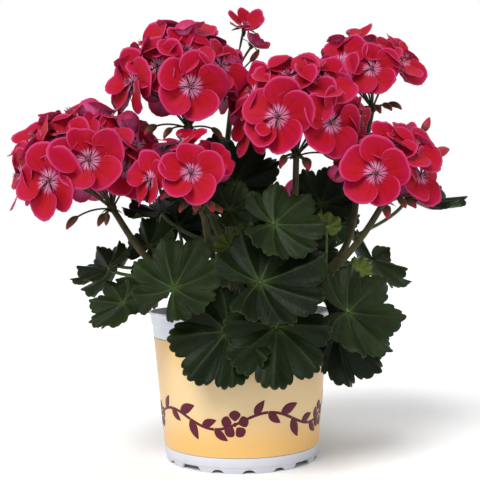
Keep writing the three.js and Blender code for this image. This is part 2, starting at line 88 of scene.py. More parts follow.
# Each shoot: the points of its stem from below the soil upwards, and its leaves, each as
# [middle, [compass angle, height of its face], turn of its tip, length to its tip, place on the stem, arch].
SHOOTS = {
    "left": {
        "stem": [[-20, -8, 62], [-22, -9, 92], [-42, -14, 114]],
        "leaves": [
            [[-39, -61, 114], [-14, 26], 62, 33, 0.75], [[-59, -6, 139], [-35, 35], 75, 23, 1],
            [[-84, -24, 126], [-50, 52], 195, 25, 0.9], [[-72, -44, 104], [-30, 40], -130, 23, 0.8],
        ],
    },
    "centre": {
        "stem": [[0, 0, 62], [-1, -1, 92], [-8, -8, 136]],
        "leaves": [
            [[-5, -40, 161], [0, 35], 25, 20, 0.95], [[-3, 6, 180], [0, 25], 110, 38, 1],
            [[-51, -6, 162], [-30, 72], 170, 26, 0.9], [[-6, -32, 138], [-10, 40], 120, 11, 0.9],
            [[4, -34, 147], [20, 40], 60, 10, 0.95],
        ],
    },
    "front": {
        "stem": [[4, -28, 62], [4, -30, 92], [6, -40, 112]],
        "leaves": [
            [[21, -70, 91], [3, 12], -95, 37, 0.95, 12], [[-8, -65, 88], [-8, 15], -125, 36, 0.8, 24],
            [[12, -71, 117], [8, 35], 15, 40, 1], [[21, -60, 151], [15, 32], -10, 31, 1, 10],
        ],
    },
    "right": {
        "stem": [[24, -8, 62], [26, -9, 92], [52, -13, 112]],
        "leaves": [
            [[66, -46, 97], [32, 25], -15, 36, 0.85, 14], [[61, -35, 84], [30, 10], -50, 36, 0.72, 22],
            [[48, 8, 136], [20, 30], -20, 22, 0.8], [[78, -14, 122], [20, 35], 60, 10, 0.95],
            [[57, -17, 150], [0, 30], 80, 11, 1],
        ],
    },
    "back_right": {
        "stem": [[22, 24, 62], [23, 25, 92], [44, 36, 118]],
        "leaves": [
            [[114, 6, 170], [40, 66], 10, 41, 1], [[58, 22, 167], [5, 25], 75, 28, 0.95],
            [[95, 38, 128], [110, 38], -60, 32, 0.9], [[70, 72, 112], [140, 32], -80, 32, 0.8],
            [[64, 58, 158], [150, 45], -80, 28, 1],
        ],
    },
    "back_left": {
        "stem": [[-22, 24, 62], [-23, 25, 92], [-38, 36, 120]],
        "leaves": [
            [[-57, 22, 186], [-10, 30], 120, 30, 1], [[-42, 22, 153], [-10, 20], 100, 26, 0.95],
            [[-86, 34, 126], [-100, 38], -110, 31, 0.9], [[-68, 76, 112], [-140, 30], -90, 31, 0.75],
        ],
    },
    "back": {
        "stem": [[0, 30, 62], [0, 32, 92], [2, 44, 122]],
        "leaves": [
            [[-24, 92, 110], [-160, 28], -105, 30, 0.85], [[26, 94, 106], [165, 30], -75, 32, 0.9],
            [[-8, 70, 150], [180, 45], -90, 32, 1], [[11, 38, 157], [10, 25], -60, 22, 1],
        ],
    },
}

# Each head: its shoot and its place on it, what its peduncle passes, its top, the middle and radius of
# its dome, its florets, each as [compass angle, height, length of a petal, further out], the lesser ones
# that fill in behind them, and its buds, as [tip, radius, rise]. Turned petals, which show their backs, are
# [compass angle, height, length, turn]. The floret with a curled petal is named by its angle and height.
# Half open is how far a head's petals rise towards their tips, as a share of their length.
HEADS = {
    "left": {
        "shoot": "left", "from": 0.97, "way": [[-62, -28, 136]],
        "hub": [-81, -22, 164], "dome": [[-97, -22, 182], 41],
        "turned": [[58, 42, 18, 125], [28, 62, 15, 70]],
        "florets": [
            [-21, -5, 24, 1], [12, 11, 23, 2], [70, 28, 23], [-62, 2, 22], [-54, 36, 22], [-40, 72, 23],
            [80, 66, 20, 3], [118, 36, 22], [-140, 36, 22], [165, 30, 21],
        ],
        "behind": [
            [-18, 34, 21, -2], [28, 42, 20, -3], [48, 6, 19, -4], [-6, 58, 20, -3], [-92, 18, 20, -2],
            [150, 62, 20, -2], [-95, 55, 19, -3], [-172, 8, 20, -2], [104, 6, 19, -3],
        ],
        "buds": [[[-88, -34, 152], 2], [[-106, -42, 150], 2], [[-90, 10, 154], 2]],
    },
    "top": {
        "shoot": "centre", "from": 0.97, "way": [[-24, -18, 176]],
        "hub": [-32, -15, 216], "dome": [[-35, -14, 238], 38],
        "turned": [[10, 44, 17, 95], [62, 10, 16, 100]],
        "florets": [
            [10, -5, 23, 2], [-52, 4, 22], [8, 30, 20], [44, 18, 20], [20, 72, 22, 2], [-60, 45, 22],
            [100, 18, 17], [100, 55, 21], [-112, 36, 21], [160, 38, 21],
        ],
        "behind": [
            [-24, 18, 20, -3], [-22, 50, 20, -2], [50, 48, 19, -3], [78, -4, 17, -4], [-92, 8, 19, -2],
            [-160, 14, 20, -2], [130, 12, 18, -3], [-150, 60, 19, -2],
        ],
        "buds": [
            [[-58, -34, 208], 2.4], [[-46, -36, 206], 1.8],
            [[-10, -32, 206], 1.8], [[-36, 12, 208], 2],
        ],
    },
    "crown": {
        "shoot": "back_left", "from": 1, "way": [[-14, 42, 180]],
        "hub": [-2, 45, 256], "dome": [[0, 45, 270], 30],
        "half_open": 0.5,
        "florets": [[15, 45, 14]],
        "behind": [[70, 45, 11, -12]],
        "buds": [[[16, 44, 280], 2, 1], [[4, 30, 270], 1.8], [[-10, 54, 266], 1.8]],
    },
    "young": {
        "shoot": "front", "from": 0.97, "way": [[-15, -38, 130]],
        "hub": [-22, -50, 161], "dome": [[-28, -50, 172], 31],
        "florets": [[2, 15, 20], [-48, 10, 18], [-30, 68, 17]],
        "behind": [[42, 42, 15, -4], [150, 40, 16, -3], [-120, 42, 16, -3]],
        "buds": [
            [[-45, -72, 166], 2.6], [[-34, -74, 158], 1.8], [[-25, -77, 158], 2], [[-15, -76, 158], 2.2],
            [[-10, -62, 158], 1.8],
        ],
    },
    "centre": {
        "shoot": "right", "from": 0.7, "way": [[36, -16, 150]],
        "hub": [37, -25, 196], "dome": [[38, -24, 214], 38],
        "turned": [[64, 34, 16, 120]],
        "curled": [-20, 0],
        "florets": [
            [-20, 0, 23, 4], [28, -4, 23], [-58, 28, 21], [-15, 42, 21], [28, 38, 21], [-60, 70, 21],
            [50, 62, 18], [75, 30, 18], [68, -2, 19], [-150, 50, 19], [165, 35, 19],
        ],
        "behind": [
            [4, 20, 20, -4], [-60, -4, 19, -3], [2, 66, 19, -2], [110, 8, 18, -3], [-108, 20, 19, -2],
            [-148, 10, 18, -3], [120, 58, 18, -3],
        ],
        "buds": [[[26, -50, 186], 2.2], [[43, -48, 184], 2.6], [[62, -34, 190], 2], [[28, 2, 190], 2]],
    },
    "high": {
        "shoot": "right", "from": 0.75, "way": [[71, 0, 138], [82, 8, 186]],
        "hub": [92, 14, 232], "dome": [[88, 16, 243], 34],
        "florets": [
            [-42, 28, 22], [-2, 14, 19, 1], [45, 30, 21], [-50, 66, 18, 4], [100, 38, 20], [160, 35, 20],
        ],
        "behind": [[14, 48, 18, -3], [-96, 30, 18, -2], [-150, 30, 18, -2], [160, 72, 17, -2]],
        "buds": [[[102, -3, 227], 1.8], [[94, -5, 225], 1.8], [[110, 5, 229], 1.8], [[84, -1, 225], 1.8]],
    },
    "right": {
        "shoot": "right", "from": 1, "way": [[79, -21, 144]],
        "hub": [93, -25, 166], "dome": [[92, -28, 178], 30],
        "florets": [
            [-18, 4, 22, 3], [38, 38, 22], [0, 42, 19], [-12, 66, 13], [95, 40, 19], [150, 45, 19],
        ],
        "behind": [[44, 4, 20, -3], [-62, 28, 17, -3], [-122, 30, 17, -3], [150, 8, 17, -3]],
        "buds": [
            [[108, -46, 160], 2.2], [[116, -40, 164], 2.4], [[101, -50, 160], 2], [[90, -50, 154], 2.4],
            [[136, -18, 199], 3, 0.1], [[124, -16, 220], 2.4, 1],
        ],
    },
    "rear": {
        "shoot": "back", "from": 0.97, "way": [[16, 58, 134]],
        "hub": [28, 72, 146], "dome": [[30, 80, 156], 33],
        "florets": [[180, 8, 22], [128, 12, 22], [-128, 12, 22], [148, 30, 21]],
        "behind": [[-150, 46, 19, -3], [100, 26, 17, -4]],
        "buds": [[[42, 98, 140], 2], [[18, 98, 140], 2]],
    },
}


# Drawing at random, the same each time


def draws_from(seed):
    """The part's own repeatable draw between -1 and 1."""
    state = seed * 7919 + 17

    def draw():
        nonlocal state
        state = (state * 16807) % 2147483647
        return 2 * state / 2147483647 - 1

    return draw


# Directions, frames and curves


def towards(azimuth, elevation):
    """A direction by compass angle (0 to the front, 90 to the right) and height above the horizon."""
    a, e = radians(azimuth), radians(elevation)
    return np.array([sin(a) * cos(e), -cos(a) * cos(e), sin(e)])


def axes_at(azimuth, elevation, turn=0.0):
    """Columns x, y and z: z along the face's direction, x turned anticlockwise from the right."""
    a, t = radians(azimuth), radians(turn)
    normal = towards(azimuth, elevation)
    right = np.array([cos(a), sin(a), 0.0])
    along = right * cos(t) + np.cross(normal, right) * sin(t)
    return np.column_stack([along, np.cross(normal, along), normal])


def full_turn(count):
    """Equal steps of angle round a circle."""
    return np.linspace(0, 2 * pi, count, endpoint=False)


def smooth_step(low, high, value):
    share = np.clip((np.asarray(value, float) - low) / (high - low), 0, 1)
    return share * share * (3 - 2 * share)


def unit(vector):
    return vector / np.linalg.norm(vector)


def bezier(a, b, c, d):
    def at(t):
        s = 1 - t
        return a * s**3 + b * 3 * s * s * t + c * 3 * s * t * t + d * t**3

    return at


def spline(points):
    """A centripetal Catmull-Rom curve through the points, from 0 to 1."""
    knots = [np.array(p, float) for p in points]
    knots = [2 * knots[0] - knots[1], *knots, 2 * knots[-1] - knots[-2]]

    def at(t):
        spans = len(knots) - 3
        i = min(int(t * spans), spans - 1)
        w = t * spans - i
        p0, p1, p2, p3 = knots[i : i + 4]
        d0, d1, d2 = (sqrt(np.linalg.norm(b - a)) for a, b in ((p0, p1), (p1, p2), (p2, p3)))
        m1 = ((p1 - p0) / d0 - (p2 - p0) / (d0 + d1) + (p2 - p1) / d1) * d1
        m2 = ((p2 - p1) / d1 - (p3 - p1) / (d1 + d2) + (p3 - p2) / d2) * d1
        square, cube = w * w, w**3
        return (
            p1
            + m1 * w
            + (-3 * p1 + 3 * p2 - 2 * m1 - m2) * square
            + (2 * p1 - 2 * p2 + m1 + m2) * cube
        )

    return at


def evenly(curve, shares):
    """The points at these shares of a curve's length."""
    fine = np.array([curve(t) for t in np.linspace(0, 1, 121)])
    lengths = np.concatenate([[0], np.cumsum(np.linalg.norm(np.diff(fine, axis=0), axis=1))])
    wanted = np.asarray(shares, float) * lengths[-1]
    return np.column_stack([np.interp(wanted, lengths, fine[:, k]) for k in range(3)])


# Pieces and the closed bodies in them


class Piece:
    """Collects closed bodies, with values for the material at each point, into one object."""

    def __init__(self, name, *values):
        self.name = name
        self.points = []
        self.faces = []
        self.values = {value: [] for value in values}
        self.count = 0

    def add(self, points, blocks, **values):
        """Adds points, and blocks of faces that number those points. A value not given is 0."""
        for block in blocks:
            self.faces += (np.asarray(block) + self.count).tolist()
        for name, store in self.values.items():
            store.append(np.broadcast_to(values.get(name, 0.0), len(points)).astype(float))
        self.points.append(points)
        self.count += len(points)

    def build(self, material, slot, *nodes):
        mesh = bpy.data.meshes.new(self.name)
        mesh.from_pydata((np.concatenate(self.points) * MM + POT_AXIS).tolist(), [], self.faces)
        for name, store in self.values.items():
            layer = mesh.attributes.new(name, "FLOAT", "POINT")
            layer.data.foreach_set("value", np.concatenate(store))
        mesh.shade_smooth()
        mesh.materials.append(material)
        made = bpy.data.objects.new(self.name, mesh)
        bpy.context.collection.objects.link(made)
        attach(made, "root")
        if nodes:
            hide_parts(*nodes)


def between(index, after):
    """The faces between the rows of a grid of numbers, where after has the next number in each row."""
    return np.stack([index[:-1], index[1:], after[1:], after[:-1]], axis=-1).reshape(-1, 4)


def slab(piece, grid, thickness, thinning=0.35, **values):
    """A closed thin body round a grid of points, thinner at its edge. Under is 1 on its under face."""
    rows, columns = grid.shape[:2]
    normal = np.cross(np.gradient(grid, axis=0), np.gradient(grid, axis=1))
    normal /= np.maximum(np.linalg.norm(normal, axis=2, keepdims=True), 1e-9)
    half = np.full((rows, columns, 1), thickness / 2)
    half[-1] *= thinning
    half[:, 0] *= thinning
    half[:, -1] *= thinning
    top = (grid + normal * half).reshape(-1, 3)
    under = (grid - normal * half).reshape(-1, 3)
    index = np.arange(rows * columns).reshape(rows, columns)
    face = between(index[:, :-1], index[:, 1:])
    rim = np.concatenate([index[:, 0], index[-1, 1:], index[-2::-1, -1], index[0, -2:0:-1]])
    after = np.roll(rim, -1)
    size = rows * columns
    walls = np.stack([after, rim, rim + size, after + size], axis=-1)
    doubled = {name: np.tile(np.broadcast_to(v, (rows, columns)).ravel(), 2) for name, v in values.items()}
    sides = np.repeat([0.0, 1.0], size)
    piece.add(np.concatenate([top, under]), [face, face[:, ::-1] + size, walls], under=sides, **doubled)


def tube(piece, path, radii, sides, ribs=0, rib_depth=0.0, **values):
    """A closed tube along a path, with a radius at each point of it."""
    path = np.asarray(path, float)
    count = len(path)
    radii = np.broadcast_to(radii, count)
    tangents = np.gradient(path, axis=0)
    tangents /= np.linalg.norm(tangents, axis=1, keepdims=True)
    side = np.cross(tangents[0], [0.0, 0.0, 1.0] if abs(tangents[0][2]) < 0.9 else [1.0, 0.0, 0.0])
    turns = full_turn(sides)
    waist = 1 + rib_depth * np.cos(ribs * turns)
    rings = []
    for i in range(count):
        side = unit(side - tangents[i] * np.dot(side, tangents[i]))
        other = np.cross(tangents[i], side)
        ring = np.outer(np.cos(turns) * waist, side) + np.outer(np.sin(turns) * waist, other)
        rings.append(path[i] + radii[i] * ring)
    index = np.arange(count * sides).reshape(count, sides)
    after = np.roll(index, -1, axis=1)
    walls = np.stack([index[:-1], after[:-1], after[1:], index[1:]], axis=-1).reshape(-1, 4)
    ends = [index[:1, ::-1], index[-1:]]
    spread = {name: np.repeat(np.broadcast_to(v, count), sides) for name, v in values.items()}
    piece.add(np.concatenate(rings), [walls, *ends], **spread)


def spikes(piece, path, radii, count, length, draw, **values):
    """Fine three-sided hairs round a path, their roots sunk in it."""
    path = np.asarray(path, float)
    radii = np.broadcast_to(radii, len(path))
    corner = np.array([[0, 1, 3], [1, 2, 3], [2, 0, 3], [2, 1, 0]])
    for _ in range(count):
        place = (0.5 + 0.5 * draw()) * (len(path) - 1.001)
        i = int(place)
        middle = path[i] + (path[i + 1] - path[i]) * (place - i)
        axis = unit(path[i + 1] - path[i])
        out = np.array([draw(), draw(), draw()]) + 1e-3
        out = unit(out - axis * np.dot(out, axis))
        side = np.cross(axis, out)
        root = middle + out * radii[i] * 0.9
        width = HAIRS["width"]
        tip = root + (out + 0.35 * draw() * axis) * length * (0.75 + 0.25 * draw())
        base = [root + side * width, root - side * width, root + axis * width]
        piece.add(np.array([*base, tip]), [corner], **values)


# Materials


def srgb(code):
    """A colour by its six-digit code, as the linear values that a shader takes."""
    parts = [int(code[i : i + 2], 16) / 255 for i in (0, 2, 4)]
    linear = [p / 12.92 if p <= 0.04045 else ((p + 0.055) / 1.055) ** 2.4 for p in parts]
    return (*linear, 1.0)


class Nodes:
    """A shader tree, whose nodes are added a call at a time."""

    def __init__(self, tree):
        self.tree = tree

    def plug(self, source, socket):
        """Links a socket, or sets it to a number or to a colour by its code."""
        if isinstance(source, bpy.types.NodeSocket):
            self.tree.links.new(source, socket)
        else:
            socket.default_value = srgb(source) if isinstance(source, str) else source

    def node(self, kind, **sockets):
        node = self.tree.nodes.new("ShaderNode" + kind)
        for name, source in sockets.items():
            self.plug(source, node.inputs[name.replace("_", " ")])
        return node

    def value(self, name):
        node = self.node("Attribute")
        node.attribute_name = name
        return node.outputs["Fac"]

    def place(self, space="Object"):
        return self.node("TexCoord").outputs[space]

    def height(self, space="Object"):
        node = self.node("SeparateXYZ")
        self.plug(self.place(space), node.inputs[0])
        return node.outputs["Z"]

    def math(self, operation, a, b=0.0, c=0.0, clamp=False):
        node = self.node("Math")
        node.operation = operation
        node.use_clamp = clamp
        for source, socket in zip((a, b, c), node.inputs):
            self.plug(source, socket)
        return node.outputs[0]

    def times(self, a, b):
        return self.math("MULTIPLY", a, b)

    def most(self, a, b):
        return self.math("MAXIMUM", a, b)

    def scaled(self, source, factor, more, clamp=False):
        return self.math("MULTIPLY_ADD", source, factor, more, clamp)

    def step(self, low, high, source):
        """A smooth step from 0 at low to 1 at high, or down where low is the greater."""
        down, up = float(low > high), float(low < high)
        node = self.node("MapRange", Value=source, To_Min=down, To_Max=up)
        self.plug(min(low, high), node.inputs["From Min"])
        self.plug(max(low, high), node.inputs["From Max"])
        node.interpolation_type = "SMOOTHSTEP"
        return node.outputs["Result"]

    def mix(self, share, a, b):
        node = self.node("Mix")
        node.data_type = "RGBA"
        for source, name in ((share, "Factor"), (a, "A"), (b, "B")):
            self.plug(source, node.inputs[name])
        return node.outputs["Result"]

    def stripes(self, source, factor, more):
        """How far a value lies from the middle of its stripe, up to a half."""
        part = self.math("FRACT", self.scaled(source, factor, more))
        return self.math("ABSOLUTE", self.math("SUBTRACT", part, 0.5))

    def noise(self, scale, detail=3.0):
        return self.node("TexNoise", Scale=scale, Detail=detail, Vector=self.place()).outputs["Fac"]

    def cells(self, scale):
        """The distance to the nearest edge between random cells."""
        node = self.node("TexVoronoi", Scale=scale, Vector=self.place())
        node.feature = "DISTANCE_TO_EDGE"
        return node.outputs["Distance"]


class Paint(Nodes):
    """A material of its own, with a name, a roughness and other constant sockets."""

    def __init__(self, name, roughness, **sockets):
        self.material = bpy.data.materials.new(name)
        self.material.use_nodes = True
        super().__init__(self.material.node_tree)
        self.shader = self.tree.nodes["Principled BSDF"]
        self.shader.inputs["Roughness"].default_value = roughness
        for socket, value in sockets.items():
            self.shader.inputs[socket.replace("_", " ")].default_value = value

    def colour(self, source):
        self.plug(source, self.shader.inputs["Base Color"])

    def rough(self, source):
        self.plug(source, self.shader.inputs["Roughness"])

    def bump(self, height, strength, distance):
        node = self.node("Bump", Strength=strength, Distance=distance, Height=height)
        self.plug(node.outputs["Normal"], self.shader.inputs["Normal"])


def leaf_paint():
    """Dark green with palmate veins, their branches and a fine net between them, and paler underneath."""
    paint = Paint("leaf", 0.42, Specular_IOR_Level=0.1)
    reach, fold = paint.value("reach"), paint.value("fold")
    off_vein = paint.times(reach, fold)
    main = paint.step(0.035, 0.006, off_vein)
    main = paint.times(main, paint.step(0.9, 0.0, reach))
    slant = paint.scaled(fold, -0.42, reach)
    off_branch = paint.stripes(slant, 4.6, 0.15)
    branch = paint.times(paint.step(0.08, 0.01, off_branch), paint.step(0.2, 0.4, reach))
    net = paint.step(0.1, 0.02, paint.cells(480))
    veins = paint.most(main, paint.times(branch, 0.22))
    veins = paint.most(veins, paint.times(net, 0.1))
    cloud = paint.step(0.35, 0.7, paint.noise(38))
    dark = paint.mix(cloud, "0a1206", "131d0b")
    zone = paint.times(paint.step(0.3, 0.5, reach), paint.step(0.8, 0.62, reach))
    dark = paint.mix(paint.times(zone, 0.4), dark, "0d140b")
    light = paint.mix(cloud, "18220e", "253218")
    dark = paint.mix(paint.value("light"), dark, light)
    dark = paint.mix(paint.times(veins, 0.36), dark, "42582c")
    heart = paint.step(0.22, 0.0, reach)
    dark = paint.mix(paint.times(heart, 0.38), dark, "425a28")
    young = paint.mix(paint.times(veins, 0.6), "5c7030", "8a9c55")
    upper = paint.mix(paint.value("tint"), dark, young)
    under = paint.mix(paint.times(veins, 0.8), "28361c", "4e5c35")
    body = paint.mix(paint.value("under"), upper, under)
    rim = paint.times(paint.step(0.97, 1.0, paint.value("outer")), 0.4)
    paint.colour(paint.mix(rim, body, "434c2e"))
    raised = paint.most(paint.times(branch, 0.8), paint.times(net, 0.6))
    height = paint.scaled(raised, -1.2, paint.noise(700, 2.0))
    paint.bump(height, 0.3, 0.0005)
    return paint.material


def petal_paint():
    """Scarlet that turns crimson pink to a pale edge, with a streaked pale throat; pinker underneath."""
    paint = Paint("petal", 0.6, Sheen_Weight=0.02, Sheen_Roughness=0.4, Specular_IOR_Level=0.08)
    along, across, rim = paint.value("along"), paint.value("across"), paint.value("rim")
    cloud = paint.noise(90, 2.0)
    pink = paint.times(paint.step(0.55, 1.0, rim), 0.7)
    pink = paint.scaled(paint.step(0.4, 0.75, cloud), 0.3, pink)
    near = paint.times(paint.step(0.5, 0.2, along), 0.75)
    pink = paint.math("ADD", pink, near, clamp=True)
    body = paint.mix(pink, "9e0916", "a00c3a")
    line = paint.step(0.22, 0.06, paint.stripes(across, 3.6, 0.5))
    ray = paint.times(line, paint.step(0.9, 0.35, along))
    body = paint.mix(paint.times(ray, 0.3), body, "5c0620")
    throat = paint.step(0.42, 0.24, paint.scaled(cloud, 0.12, along))
    gap = paint.math("SUBTRACT", 1.0, paint.times(line, 0.9))
    pale = paint.times(paint.times(throat, gap), paint.value("mark"))
    body = paint.mix(pale, body, "d68cb0")
    mark = paint.times(line, paint.step(0.42, 0.25, along))
    mark = paint.times(mark, paint.value("mark"))
    body = paint.mix(mark, body, "4a042a")
    edge = paint.times(paint.step(0.91, 1.0, rim), 0.55)
    body = paint.mix(edge, body, "c44a80")
    back = paint.mix(paint.times(line, 0.35), "c4578a", "9a2756")
    back = paint.mix(paint.step(0.6, 1.0, rim), back, "b32a5b")
    paint.colour(paint.mix(paint.value("under"), body, back))
    paint.bump(paint.scaled(line, -0.5, paint.noise(600, 2.0)), 0.3, 0.0003)
    return paint.material


def stalk_paint():
    """Olive green with a brown flush, and red where a bud opens."""
    paint = Paint("stalk", 0.5, Sheen_Weight=0.05, Specular_IOR_Level=0.2)
    cloud = paint.noise(160)
    green = paint.mix(paint.step(0.3, 0.75, cloud), "3a4220", "4f5a2d")
    brown = paint.mix(paint.step(0.3, 0.75, cloud), "2c1e14", "42301f")
    body = paint.mix(paint.value("warm"), green, brown)
    body = paint.mix(paint.value("red"), body, "9c1530")
    paint.colour(body)
    paint.bump(paint.noise(1500, 2.0), 0.3, 0.0003)
    return paint.material


def stem_paint():
    """Petioles are light green, and the woody stems browner."""
    paint = Paint("stem", 0.5, Sheen_Weight=0.05, Specular_IOR_Level=0.2)
    cloud = paint.noise(140)
    green = paint.mix(paint.step(0.3, 0.75, cloud), "364722", "506534")
    brown = paint.mix(paint.step(0.35, 0.7, cloud), "2b2a17", "403c22")
    paint.colour(paint.mix(paint.value("warm"), green, brown))
    paint.bump(paint.noise(1200, 3.0), 0.4, 0.0004)
    return paint.material


def eye_paint():
    """Pale filaments with dark anthers, and a rosy stigma."""
    paint = Paint("eye", 0.5)
    body = paint.mix(paint.value("dark"), "c77d98", "3d1024")
    paint.colour(paint.mix(paint.times(paint.noise(2500), 0.4), body, "8f2548"))
    return paint.material


def pot_paint():
    """White moulded plastic, faintly bluish, with a fine skin, a little dust and painted shade that greys
    its lowest 20 mm.
    """
    paint = Paint("pot_plastic", 0.36, Specular_IOR_Level=0.45)
    height = paint.height()
    dust = paint.times(paint.step(0.5, 0.75, paint.noise(70, 5.0)), 0.12)
    # Painted shade: below 20 mm the pot is greyed towards the same colour as the dust.
    low = paint.times(paint.step(0.02, 0.0, height), 0.8)
    body = paint.mix(paint.math("ADD", dust, low), "cfd2dc", "b4b5bb")
    paint.colour(body)
    paint.rough(paint.scaled(paint.noise(400), 0.12, 0.32))
    paint.bump(paint.noise(1400, 2.0), 0.06, 0.0002)
    return paint.material


def label_paint():
    """Printed film that fades from cream to a warm yellow below and above, with painted shade that warms it
    to the sides.
    """
    paint = Paint("label_film", 0.34, Specular_IOR_Level=0.5)
    height = paint.height()
    low = paint.step(0.042, 0.012, height)
    high = paint.times(paint.step(0.05, 0.08, height), 0.75)
    warm = paint.most(low, high)
    # Painted shade: the side value warms the film towards the pot's left and right as seen from the front.
    side = paint.times(paint.value("side"), 0.65)
    warm = paint.scaled(paint.noise(18, 1.0), 0.12, paint.most(warm, side), clamp=True)
    paint.colour(paint.mix(warm, "d8be92", "dbad64"))
    paint.rough(paint.scaled(paint.noise(300), 0.1, 0.3))
    return paint.material


def print_paint():
    """Maroon print."""
    paint = Paint("maroon_print", 0.4, Specular_IOR_Level=0.25)
    paint.colour(paint.mix(paint.noise(220), "5c1027", "4e0d22"))
    return paint.material


def soil_paint():
    """Dark moist peat with paler fibres."""
    paint = Paint("peat", 0.9, Specular_IOR_Level=0.2)
    grain = paint.noise(420, 6.0)
    body = paint.mix(paint.step(0.35, 0.7, grain), "140e0b", "36281e")
    fibre = paint.step(0.66, 0.72, paint.noise(900, 4.0))
    paint.colour(paint.mix(paint.times(fibre, 0.6), body, "6b563e"))
    paint.bump(grain, 0.8, 0.0015)
    return paint.material


def grit_paint():
    """Off-white perlite and bits of bark."""
    paint = Paint("grit", 0.85)
    white = paint.mix(paint.noise(600), "bcb8ae", "d8d5cc")
    bark = paint.mix(paint.noise(500), "38271a", "5a412b")
    paint.colour(paint.mix(paint.value("bark"), white, bark))
    paint.bump(paint.noise(1500), 0.5, 0.0006)
    return paint.material


# Pot, label and soil

AROUND = 360  # columns round the pot


def mapped(value, a, b, c, d):
    return c + (d - c) * (value - a) / (b - a)


def pot_radius(z):
    """The outer radius of the pot and its label at a height."""
    if z < LABEL["bottom"]:
        return mapped(z, 0, LABEL["bottom"], POT["foot"], LABEL["bottom_radius"])
    if z < LABEL["top"]:
        return mapped(z, LABEL["bottom"], LABEL["top"], LABEL["bottom_radius"], LABEL["top_radius"])
    return mapped(z, LABEL["top"], POT["height"], LABEL["top_radius"], POT["rim"])


RECESS = LABEL["thickness"] + SEAT_GAP


def inner_radius(z):
    return pot_radius(z) - RECESS - POT["wall"]


def arch(angle, middle, width, height):
    """How far an arched notch rises at an angle, where its width is a length on the foot's edge."""
    away = abs((angle - middle + 180) % 360 - 180)
    share = radians(away) * POT["foot"] / (width / 2)
    return height * max(0.0, 1 - share**2.5) ** 0.7 if share < 1 else 0.0


def foot_line(angle):
    """The height of the foot's lower edge at a compass angle."""
    rise = 0.0
    for i in range(FOOT["feet"]):
        notch = FOOT["notch"] + 90 * i
        rise = max(rise, arch(angle, notch, **NOTCHES))
        for k in range(1, SCALLOPS_A_FOOT + 1):
            middle = notch + 90 * k / (SCALLOPS_A_FOOT + 1)
            rise = max(rise, arch(angle, middle, **SCALLOPS))
    return rise


def lathed(piece, profile, lift=None, **values):
    """A closed profile turned about the pot's axis. Lift raises a point by its place in it and its angle."""
    count = len(profile)
    angles = np.arange(AROUND) * 360 / AROUND
    columns = []
    for angle in angles:
        a = radians(angle)
        for k, (r, z) in enumerate(profile):
            up = lift(k, angle) if lift else 0.0
            columns.append([sin(a) * r, -cos(a) * r, z + up])
    index = np.arange(AROUND * count).reshape(AROUND, count)
    after = np.roll(index, -1, axis=0)
    below = np.roll(index, -1, axis=1)
    corner = np.roll(after, -1, axis=1)
    faces = np.stack([index, after, corner, below], axis=-1).reshape(-1, 4)
    piece.add(np.array(columns), [faces], **values)


def rounded(profile, radius, steps=3):
    """A closed profile with each corner rounded by about the radius."""
    corners = [np.array(p, float) for p in profile]
    made = []
    for i, here in enumerate(corners):
        back = corners[i - 1] - here
        on = corners[(i + 1) % len(corners)] - here
        reach = min(radius, 0.45 * np.linalg.norm(back), 0.45 * np.linalg.norm(on))
        a, b = here + unit(back) * reach, here + unit(on) * reach
        for t in np.linspace(0, 1, steps):
            made.append(a * (1 - t) ** 2 + here * 2 * t * (1 - t) + b * t**2)
    return made


def make_pot():
    """The pot's shell with its foot ring."""
    floor_top = FOOT["lift"] + FOOT["floor"]
    bottom, top = LABEL["bottom"] - SEAT_GAP, LABEL["top"] + SEAT_GAP
    lip = 2.4
    step = 0.5
    outside = [
        (POT["foot"], 0),
        (POT["foot"] + 0.35, 3.4),
        (POT["foot"] + 0.75, 3.8),
        (pot_radius(bottom), bottom),
        (pot_radius(bottom) - RECESS, bottom),
        (pot_radius(top) - RECESS, top),
        (pot_radius(top), top),
        (pot_radius(88) - step, 88),
        (pot_radius(88), 88.5),
        (POT["rim"] - 0.4, POT["height"] - lip),
        (POT["rim"] + 0.4, POT["height"] - 0.6 * lip),
        (POT["rim"] + 0.2, POT["height"]),
    ]
    inside = [
        (POT["rim"] - POT["wall"], POT["height"]),
        (inner_radius(LABEL["top"]), LABEL["top"]),
        (inner_radius(floor_top), floor_top),
        (inner_radius(floor_top) - 1, FOOT["lift"] + 0.2),
        (POT["foot"] - FOOT["wall"], FOOT["lift"]),
        (POT["foot"] - FOOT["wall"], 0),
    ]
    profile = rounded(outside + inside, 0.35)
    low = [z < 0.5 for _, z in profile]
    shell = Piece("pot_shell")
    lathed(shell, profile, lambda k, angle: foot_line(angle) if low[k] else 0.0)
    shell.build(pot_paint(), "pot", "pot")


